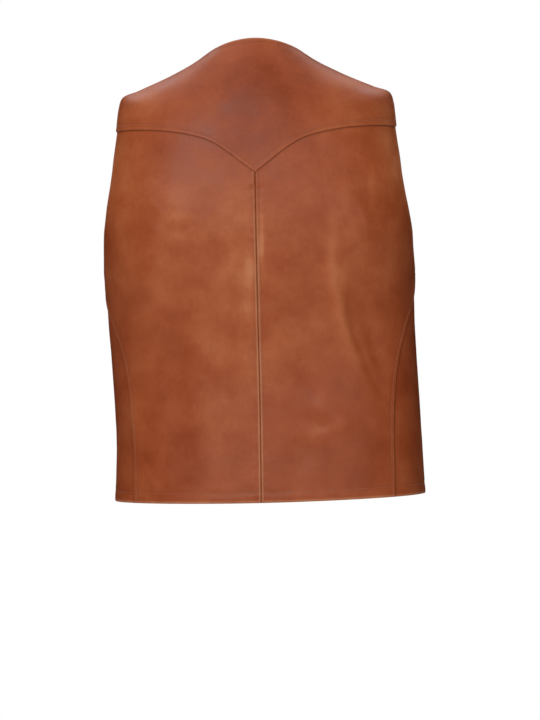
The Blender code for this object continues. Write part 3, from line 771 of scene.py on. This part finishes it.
def leather_look():
    """Smooth oiled leather: mottled browns and fine grain, with painted shade in the seams, paler edges of
    wear mixed with painted highlight, and painted light and shade from the relief and the tones.
    """
    made, tree, shader, add = nodes_for("leather_grain_side")
    where = add("ShaderNodeTexCoord").outputs["Object"]
    broad = add("ShaderNodeTexNoise", {"Vector": where}, in_Scale=6.0, in_Detail=3.0, in_Roughness=0.5)
    patches = add("ShaderNodeTexNoise", {"Vector": where}, in_Scale=24.0, in_Detail=6.0, in_Roughness=0.62)
    fine = add("ShaderNodeTexNoise", {"Vector": where}, in_Scale=190.0, in_Detail=5.0, in_Roughness=0.65)
    blend = add("ShaderNodeMath", {0: broad.outputs["Fac"], 1: patches.outputs["Fac"]}, operation="ADD")
    mottle = add("ShaderNodeMath", {0: fine.outputs["Fac"], 2: blend.outputs[0]}, operation="MULTIPLY_ADD")
    mottle.inputs[1].default_value = 0.30
    # Painted highlight and shade: raised leather is painted paler, and hollows and rounded edges darker, by
    # the lift of the relief.
    lift = add("ShaderNodeAttribute", attribute_name="lift")
    value = add("ShaderNodeMath", {0: lift.outputs["Fac"], 2: mottle.outputs[0]}, operation="MULTIPLY_ADD")
    value.inputs[1].default_value = 40.0
    # Hide tone mixed with painted highlight and shade.
    tone_and_painted_light = add("ShaderNodeAttribute", attribute_name="tone_and_painted_light")
    toned_and_painted_light = add("ShaderNodeMath", {0: tone_and_painted_light.outputs["Fac"], 2: value.outputs[0]}, operation="MULTIPLY_ADD")
    toned_and_painted_light.inputs[1].default_value = 0.65
    spread = add("ShaderNodeMapRange", {"Value": toned_and_painted_light.outputs[0]}, in_From_Min=0.525, in_From_Max=1.825)
    colours = add("ShaderNodeValToRGB", {"Fac": spread.outputs["Result"]})
    ramp(colours, LEATHER_STOPS)
    # Painted highlight, partly wear, on edges and ridges, broken up by the patches.
    wear_and_painted_highlight = add("ShaderNodeAttribute", attribute_name="wear_and_painted_highlight")
    wear_and_highlight_links = {0: wear_and_painted_highlight.outputs["Fac"], 1: patches.outputs["Fac"]}
    wear_and_highlight_share = add("ShaderNodeMath", wear_and_highlight_links, operation="MULTIPLY")
    wear_and_highlight_mix = add("ShaderNodeMix", data_type="RGBA")
    tree.links.new(wear_and_highlight_share.outputs[0], wear_and_highlight_mix.inputs[0])
    tree.links.new(colours.outputs["Color"], wear_and_highlight_mix.inputs[6])
    wear_and_highlight_mix.inputs[7].default_value = (*WORN_AND_HIGHLIGHT_COLOUR, 1)
    # Painted shade in the seams' crevices and stitch furrows.
    seam_shade = add("ShaderNodeAttribute", attribute_name="seam_shade")
    seam_shade_share = add("ShaderNodeMath", {0: seam_shade.outputs["Fac"]}, operation="MULTIPLY")
    seam_shade_share.inputs[1].default_value = 0.65
    darker = add("ShaderNodeMix", data_type="RGBA")
    tree.links.new(seam_shade_share.outputs[0], darker.inputs[0])
    tree.links.new(wear_and_highlight_mix.outputs[2], darker.inputs[6])
    darker.inputs[7].default_value = (*SEAM_SHADE_COLOUR, 1)
    tree.links.new(darker.outputs[2], shader.inputs["Base Color"])
    rough = add("ShaderNodeMapRange", {"Value": patches.outputs["Fac"]}, in_From_Min=0.3, in_From_Max=0.7)
    rough.inputs["To Min"].default_value = 0.40
    rough.inputs["To Max"].default_value = 0.52
    tree.links.new(rough.outputs["Result"], shader.inputs["Roughness"])
    shader.inputs["Specular IOR Level"].default_value = 0.16
    cells = add("ShaderNodeTexVoronoi", {"Vector": where}, in_Scale=1100.0)
    wrinkles = add("ShaderNodeTexNoise", {"Vector": where}, in_Scale=60.0, in_Detail=7.0, in_Roughness=0.6)
    pores = {"Height": cells.outputs["Distance"]}
    grain = add("ShaderNodeBump", pores, in_Strength=0.12, in_Distance=0.00025)
    soft = add("ShaderNodeBump", {"Height": wrinkles.outputs["Fac"], "Normal": grain.outputs["Normal"]})
    soft.inputs["Strength"].default_value = 0.35
    soft.inputs["Distance"].default_value = 0.0012
    tree.links.new(soft.outputs["Normal"], shader.inputs["Normal"])
    return made


def suede_look():
    """The flesh side: matt, paler and fibrous."""
    made, tree, shader, add = nodes_for("leather_flesh_side")
    where = add("ShaderNodeTexCoord").outputs["Object"]
    clouds = add("ShaderNodeTexNoise", {"Vector": where}, in_Scale=30.0, in_Detail=6.0, in_Roughness=0.65)
    nap = add("ShaderNodeTexNoise", {"Vector": where}, in_Scale=900.0, in_Detail=4.0, in_Roughness=0.7)
    both = add("ShaderNodeMath", {0: clouds.outputs["Fac"], 1: nap.outputs["Fac"]}, operation="ADD")
    spread = add("ShaderNodeMapRange", {"Value": both.outputs[0]})
    spread.inputs["From Min"].default_value = 0.75
    spread.inputs["From Max"].default_value = 1.25
    colours = add("ShaderNodeValToRGB", {"Fac": spread.outputs["Result"]})
    ramp(colours, ((0.0, 0.215, 0.090, 0.045), (1.0, 0.330, 0.160, 0.088)))
    tree.links.new(colours.outputs["Color"], shader.inputs["Base Color"])
    shader.inputs["Roughness"].default_value = 0.92
    shader.inputs["Specular IOR Level"].default_value = 0.15
    shader.inputs["Sheen Weight"].default_value = 0.25
    shader.inputs["Sheen Roughness"].default_value = 0.5
    bump = add("ShaderNodeBump", {"Height": nap.outputs["Fac"]}, in_Strength=0.5, in_Distance=0.0004)
    tree.links.new(bump.outputs["Normal"], shader.inputs["Normal"])
    return made


def thread_look():
    made, tree, shader, add = nodes_for("tan_thread")
    where = add("ShaderNodeTexCoord").outputs["Object"]
    twist = add("ShaderNodeTexNoise", {"Vector": where}, in_Scale=1500.0, in_Detail=3.0)
    colours = add("ShaderNodeValToRGB", {"Fac": twist.outputs["Fac"]})
    ramp(colours, ((0.3, 0.200, 0.050, 0.018), (0.7, 0.330, 0.110, 0.048)))
    tree.links.new(colours.outputs["Color"], shader.inputs["Base Color"])
    shader.inputs["Roughness"].default_value = 0.55
    shader.inputs["Sheen Weight"].default_value = 0.2
    bump = add("ShaderNodeBump", {"Height": twist.outputs["Fac"]}, in_Strength=0.6, in_Distance=0.0001)
    tree.links.new(bump.outputs["Normal"], shader.inputs["Normal"])
    return made


def brass_look():
    """Antique brass: mottled with dark tarnish and brighter rubbed metal."""
    made, tree, shader, add = nodes_for("antique_brass_finish")
    where = add("ShaderNodeTexCoord").outputs["Object"]
    tarnish = add("ShaderNodeTexNoise", {"Vector": where}, in_Scale=420.0, in_Detail=5.0, in_Roughness=0.6)
    colours = add("ShaderNodeValToRGB", {"Fac": tarnish.outputs["Fac"]})
    ramp(colours, ((0.30, 0.150, 0.100, 0.050), (0.55, 0.400, 0.290, 0.150), (0.8, 0.560, 0.420, 0.240)))
    tree.links.new(colours.outputs["Color"], shader.inputs["Base Color"])
    shader.inputs["Metallic"].default_value = 1.0
    rough = add("ShaderNodeMapRange", {"Value": tarnish.outputs["Fac"]})
    rough.inputs["To Min"].default_value = 0.42
    rough.inputs["To Max"].default_value = 0.22
    tree.links.new(rough.outputs["Result"], shader.inputs["Roughness"])
    return made


leather = leather_look()
suede = suede_look()
thread = thread_look()
brass = brass_look()

# Lines that the panels share, for the wearer's left half.
seam_points = [(0.0, depth_at(0.0, YOKE_SEAM[0][1]))]
seam_points += [seen_at(x, drop, BACK_DEGREES) for x, drop in YOKE_SEAM[1:]]
back_edge = path(from_degrees(ARMHOLE[: SHOULDER_ROW + 1]))
edge_drops = NECK_ABOVE_ORIGIN - form(back_edge[0][:, 0], back_edge[0][:, 1])[:, 2]
corner = tuple(back_edge[0][int(np.abs(edge_drops - YOKE_CORNER_DROP).argmin())])
seam_points.append(corner)
yoke_seam = path(seam_points)
over_rows = [row for row in ARMHOLE[:FRONT_CORNER_ROW] if row[1] < YOKE_CORNER_DROP - CORNER_CLEARANCE]
over_shoulder = path([corner] + from_degrees(over_rows + [ARMHOLE[FRONT_CORNER_ROW]]))
up_the_back = [row for row in ARMHOLE[:SHOULDER_ROW] if row[1] > YOKE_CORNER_DROP + CORNER_CLEARANCE]
back_armhole = path([corner] + from_degrees(up_the_back[::-1]))
front_armhole = path(from_degrees(ARMHOLE[FRONT_CORNER_ROW:]))
neck_end = math.radians(NECK_END_DEGREES)
neck_ring = measured(np.stack((np.linspace(0, neck_end, PATH_SAMPLES), np.zeros(PATH_SAMPLES)), axis=1))
front_corner = over_shoulder[0][-1]
front_seam = measured(np.linspace((neck_end, 0.0), front_corner, PATH_SAMPLES))


def hem_depth(turns):
    return BACK_LENGTH - HEM_RISE_AT_SIDES * np.sin(turns) ** 2


side_points = from_degrees(SIDE_SEAM)
side_points[-1] = (side_points[-1][0], float(hem_depth(side_points[-1][0])))
side_seam = path(side_points)
neck_points = [(neck_end, 0.0)] + [seen_at(x, drop, FRONT_DEGREES) for x, drop in FRONT_NECK]
v_edge = path(neck_points)
front_drops = np.linspace(FRONT_NECK[-1][1], BACK_LENGTH, FRONT_EDGE_KNOTS)[1:]
centre_points = [seen_at(-CENTRE_OVERLAP, drop, FRONT_DEGREES) for drop in front_drops]
centre_edge = path([neck_points[-1]] + centre_points)


def hem_between(first_turn, last_turn):
    turns = np.linspace(first_turn, last_turn, PATH_SAMPLES)
    return measured(np.stack((turns, hem_depth(turns)), axis=1))


def straight(turn, first_depth, last_depth):
    return measured(np.linspace((turn, first_depth), (turn, last_depth), PATH_SAMPLES))


def even(length):
    return max(2, round(length / STEP))


def down_from_underarm(line, count):
    return along(line, marks(line[1][-1], count, False, True))


# Yoke: columns from centre back round to the front seam, rows from the neck edge out.
seam_count = even(yoke_seam[1][-1])
yoke_outer = along(yoke_seam, np.linspace(0, 1, seam_count + 1))
shoulder_shares = marks(over_shoulder[1][-1], even(over_shoulder[1][-1]), False, True)
yoke_outer = np.concatenate((yoke_outer, along(over_shoulder, shoulder_shares)[1:]))
outer_lengths = measured(yoke_outer)[1]
yoke_inner = along(neck_ring, outer_lengths / outer_lengths[-1])
column_lengths = [measured(np.linspace(a, b, 40))[1][-1] for a, b in zip(yoke_inner, yoke_outer)]
yoke_count = even(max(column_lengths))
yoke_shares = np.array([marks(length, yoke_count, True, True) for length in column_lengths]).T[..., None]
yoke_half = (1 - yoke_shares) * yoke_inner[None] + yoke_shares * yoke_outer[None]
yoke_grid = np.concatenate((yoke_half[:, :0:-1] * (-1, 1), yoke_half), axis=1)

# Back panels: columns from centre back out, rows from the yoke seam to the hem.
upper_count = even(back_armhole[1][-1])
lower_count = even(side_seam[1][-1])
centre_upper = along(straight(0.0, yoke_seam[0][0, 1], LEVEL_BELOW_UNDERARM),
                     np.linspace(0, 1, upper_count))
centre_lower = down_from_underarm(straight(0.0, LEVEL_BELOW_UNDERARM, BACK_LENGTH), lower_count)
back_first = np.concatenate((centre_upper, centre_lower[1:]))
back_last = np.concatenate((along(back_armhole, np.linspace(0, 1, upper_count)),
                            down_from_underarm(side_seam, lower_count)[1:]))
back_hem = hem_between(0.0, side_points[-1][0])
back_grid, back_shares = patch(yoke_seam, back_hem, back_first, back_last, even(0.205), True, True)
seam_row = along(yoke_seam, back_shares[0])
inner_row = along(neck_ring, back_shares[0] * yoke_seam[1][-1] / outer_lengths[-1])
row_lengths = np.array([measured(np.linspace(a, b, 40))[1][-1] for a, b in zip(inner_row, seam_row)])
lap_steps = np.linspace(1, 0, 4)[:-1, None, None]
lap_shares = lap_steps * (LAP / row_lengths)[None, :, None]
back_grid = np.concatenate((lap_shares * inner_row + (1 - lap_shares) * seam_row, back_grid))
back_grid[:, 0, 0] = 0.0

# Fronts: columns from the armhole and side seam round to the front edge, rows from the yoke to the hem.
v_share = v_edge[1][-1] / (v_edge[1][-1] + 0.060)
v_count = round(upper_count * v_share)
front_first = np.concatenate((along(front_armhole, np.linspace(0, 1, upper_count)),
                              down_from_underarm(side_seam, lower_count)[1:]))
to_underarm = 0.060 / centre_edge[1][-1]
front_middle = along(centre_edge, np.linspace(0, to_underarm, upper_count - v_count + 1))
rest = marks(centre_edge[1][-1] * (1 - to_underarm), lower_count, False, True)
front_rest = along(centre_edge, to_underarm + (1 - to_underarm) * rest)
front_last = np.concatenate((along(v_edge, np.linspace(0, 1, v_count)), front_middle[1:], front_rest[1:]))
front_top = measured(front_seam[0][::-1])
front_hem = hem_between(front_first[-1, 0], front_last[-1, 0])
front_grid, front_shares = patch(front_top, front_hem, front_first, front_last, even(0.300), True, True)
lap_column = int(np.argmin(np.abs(outer_lengths[-1] - outer_lengths - LAP)))
lap_line = measured(np.linspace(yoke_outer[lap_column], yoke_inner[lap_column], PATH_SAMPLES))
top_row = along(front_top, front_shares[0])
under_row = along(lap_line, front_shares[0])
front_grid = np.concatenate((lap_steps * under_row + (1 - lap_steps) * top_row, front_grid))
seam_side = front_grid[3 + upper_count - 1 :, 0]
by_turn = np.linalg.norm(slopes_at(seam_side[:, 0], seam_side[:, 1])[0], axis=1)
lap_turns = np.stack((seam_side[:, 0] - LAP / by_turn, seam_side[:, 1]), axis=1)
lap_across = np.linspace(0, 1, 4)[None, :, None]
side_lap = (1 - lap_across) * lap_turns[:, None] + lap_across * seam_side[:, None]

# Edges and seams of the wearer's left half, each with the side its panel lies on.
edges = {
    "neck": Edge("neck", neck_ring, 1),
    "yoke_seam": Edge("yoke", yoke_seam, -1),
    "shoulder": Edge("armhole", over_shoulder, -1),
    "front_seam": Edge("front_yoke", front_seam, 1),
    "centre": Edge("centre", straight(0.0, yoke_seam[0][0, 1], BACK_LENGTH), -1),
    "back_armhole": Edge("armhole", back_armhole, 1),
    "side": Edge("side", side_seam, 1),
    "under_yoke": Edge("under_yoke", yoke_seam, 1),
    "under_side": Edge("under_side", side_seam, -1),
    "under_front_seam": Edge("under_side", front_seam, -1),
    "back_hem": Edge("hem", back_hem, -1),
    "front_armhole": Edge("armhole", front_armhole, -1),
    "v_edge": Edge("edge", v_edge, 1),
    "centre_edge": Edge("edge", centre_edge, 1),
    "front_hem": Edge("hem", front_hem, -1),
}


def yoke_level(places, own):
    share = (np.abs(places[:, 0]) - LEVEL_FALLS_FROM) / (LEVEL_FALLS_TO - LEVEL_FALLS_FROM)
    return YOKE_LEVEL + (BACK_LEVEL - YOKE_LEVEL) * smooth(share)


def back_level(places, own):
    return np.full(len(places), BACK_LEVEL)


def raised_level(places, own):
    share = smooth((FLAT_BEYOND - own[:, 0]) / (FLAT_BEYOND - RAISED_WITHIN))
    below_neck = smooth((NECK_ABOVE_ORIGIN - own[:, 2] - RAISED_FROM_DROP) / RAISED_OVER)
    return OVERLAP_LEVEL * share * below_neck


def flat_level(places, own):
    return np.zeros(len(places))


def named(*names):
    return [edges[name] for name in names]


YOKE_EDGES = ("neck", "yoke_seam", "shoulder", "front_seam")
BACK_EDGES = ("centre", "back_armhole", "side", "back_hem")
FRONT_EDGES = ("front_armhole", "v_edge", "centre_edge", "front_hem")
UNDER_BACK = ("under_yoke",)
UNDER_FRONT = ("under_side", "under_front_seam")
yoke = Panel("back_yoke", 0, yoke_level, named(*YOKE_EDGES))
back_left = Panel("back_left", 1, back_level, named(*BACK_EDGES, *UNDER_BACK))
back_right = Panel("back_right", -1, back_level, named(*BACK_EDGES, *UNDER_BACK))
front_left = Panel("front_left", 1, raised_level, named(*FRONT_EDGES, *UNDER_FRONT))
front_right = Panel("front_right", -1, flat_level, named(*FRONT_EDGES, *UNDER_FRONT))

# The flat cut of each panel: width, length and area, and the edges that are topstitched.
panels = (
    (yoke, yoke_grid, None, (0.440, 0.300, 0.071), YOKE_EDGES),
    (back_left, back_grid, None, (0.290, 0.515, 0.113), BACK_EDGES[1:]),
    (back_right, back_grid, None, (0.290, 0.515, 0.113), BACK_EDGES),
    (front_left, front_grid, side_lap, (0.395, 0.655, 0.168), FRONT_EDGES),
    (front_right, front_grid, side_lap, (0.395, 0.655, 0.168), FRONT_EDGES),
)
for panel, grid, lap, (width, length, area), stitched in panels:
    piece = leather_piece(panel, grid, lap)
    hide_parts(panel.name)
    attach(piece, "root")
    sewing = stitches(panel, named(*stitched))
    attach(sewing, "root")


def turned_piece(name, centre, axis, profile, look):
    """A round piece: the profile's radii and heights swept about an axis, closed at both ends."""
    side = Vector(axis).cross(Vector((0, 0, 1))).normalized()
    up = Vector(axis).cross(side)
    angles = np.linspace(0, 2 * math.pi, SNAP_SIDES, endpoint=False)
    round_about = np.outer(np.cos(angles), side) + np.outer(np.sin(angles), up)
    points = np.concatenate([centre + axis * height + radius * round_about for radius, height in profile])
    numbers = np.arange(len(points)).reshape(len(profile), SNAP_SIDES)
    beside = np.roll(numbers, -1, axis=1)
    quads = np.stack((numbers[:-1], numbers[1:], beside[1:], beside[:-1]), axis=-1).reshape(-1, 4).tolist()
    ends = [numbers[0].tolist(), numbers[-1][::-1].tolist()]
    return mesh_object(name, points, quads + ends, (look,))


CAP_PROFILE = (
    (0.0015, 0.0004),
    (0.0062, 0.0000),
    (0.0070, 0.0001),
    (0.0074, 0.0005),
    (0.0075, 0.0010),
    (0.0073, 0.0014),
    (0.0069, 0.0016),
    (0.0066, 0.0015),
    (0.0063, 0.0016),
    (0.0056, 0.0021),
    (0.0044, 0.0027),
    (0.0030, 0.0031),
    (0.0016, 0.0033),
    (0.0004, 0.0034),
)
PLATE_PROFILE = (
    (0.0008, -0.0009),
    (0.0018, -0.0008),
    (0.0022, -0.0013),
    (0.0044, -0.0013),
    (0.0050, -0.0010),
    (0.0052, -0.0006),
    (0.0052, 0.0000),
    (0.0010, 0.0000),
)
for number, drop in enumerate(np.linspace(SNAP_FIRST_DROP, SNAP_LAST_DROP, SNAP_COUNT), 1):
    place = np.array(((math.pi, drop),))
    above = front_left.relief(place)
    below = front_right.relief(place * (-1, 1))
    cap = turned_piece(f"snap_{number}_cap", above["outer"][0], above["normal"][0], CAP_PROFILE, brass)
    plate = turned_piece(f"snap_{number}_plate", below["inner"][0], below["normal"][0], PLATE_PROFILE, brass)
    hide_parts(f"snap_cap_{number}")
    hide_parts(f"snap_back_{number}")
    for piece in (cap, plate):
        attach(piece, "root")


# A pale floor well below the hem, a white surround, and large soft lights.
def stage_floor():
    bpy.ops.mesh.primitive_circle_add(vertices=96, radius=FLOOR_RADIUS, fill_type="NGON")
    floor = bpy.context.object
    floor.name = "floor"
    floor.location.z = FLOOR_Z
    made, tree, shader, add = nodes_for("pale_floor")
    shader.inputs["Base Color"].default_value = (0.80, 0.80, 0.80, 1)
    shader.inputs["Roughness"].default_value = 0.9
    floor.data.materials.append(made)


def aimed(obj, place, target):
    obj.location = place
    obj.rotation_euler = (Vector(target) - Vector(place)).to_track_quat("-Z", "Y").to_euler()
    bpy.context.scene.collection.objects.link(obj)


def soft_light(name, place, width, height, power):
    data = bpy.data.lights.new(name, "AREA")
    data.shape = "RECTANGLE"
    data.size = width
    data.size_y = height
    data.energy = power
    aimed(bpy.data.objects.new(name, data), place, LIT_POINT)


# Lights: place, width, height and power in watts.
LIGHT_COLUMNS = ("name", "x", "y", "z", "width", "height", "power")
LIGHTS = (
    ("key", 1.1, 3.7, 1.3, 1.6, 1.6, 122.0),
    ("fill", -1.5, 3.7, 0.4, 1.6, 1.8, 38.0),
    ("left_shoulder", 1.0, 0.8, 2.4, 1.8, 1.6, 27.0),
    ("right_shoulder", -1.0, 0.8, 2.4, 1.8, 1.6, 15.0),
    ("front_left", 1.2, -2.0, 3.0, 3.0, 2.4, 80.0),
    ("front_right", -1.2, -2.0, 3.0, 3.0, 2.4, 60.0),
)
stage_floor()
for name, *row in LIGHTS:
    x, y, z, width, height, power = row
    soft_light(name, (x, y, z), width, height, power)
world = bpy.data.worlds.new("white_surround")
world.use_nodes = True
world.node_tree.nodes["Background"].inputs["Color"].default_value = (1.0, 1.0, 1.0, 1)
world.node_tree.nodes["Background"].inputs["Strength"].default_value = 1.0
world.cycles_visibility.diffuse = False
world.cycles_visibility.glossy = False
bpy.context.scene.world = world
bpy.context.scene.view_settings.view_transform = "Standard"

# Camera as in the photo: level, behind the vest and slightly to its right, rolled a little.
turn = math.radians(CAMERA_AZIMUTH)
back_from = Vector((math.sin(turn), -math.cos(turn), 0)) * CAMERA_DISTANCE
camera_data = bpy.data.cameras.new("camera")
camera_data.sensor_fit = "VERTICAL"
camera_data.sensor_height = SENSOR_HEIGHT
camera_data.sensor_width = SENSOR_HEIGHT * 540 / 720
camera_data.lens = SENSOR_HEIGHT * CAMERA_DISTANCE / FRAME_HEIGHT
camera_data.clip_end = 100
camera = bpy.data.objects.new("camera", camera_data)
aimed(camera, Vector(CAMERA_TARGET) + back_from, CAMERA_TARGET)
camera.rotation_euler.rotate_axis("Z", math.radians(-CAMERA_ROLL))
bpy.context.scene.camera = camera
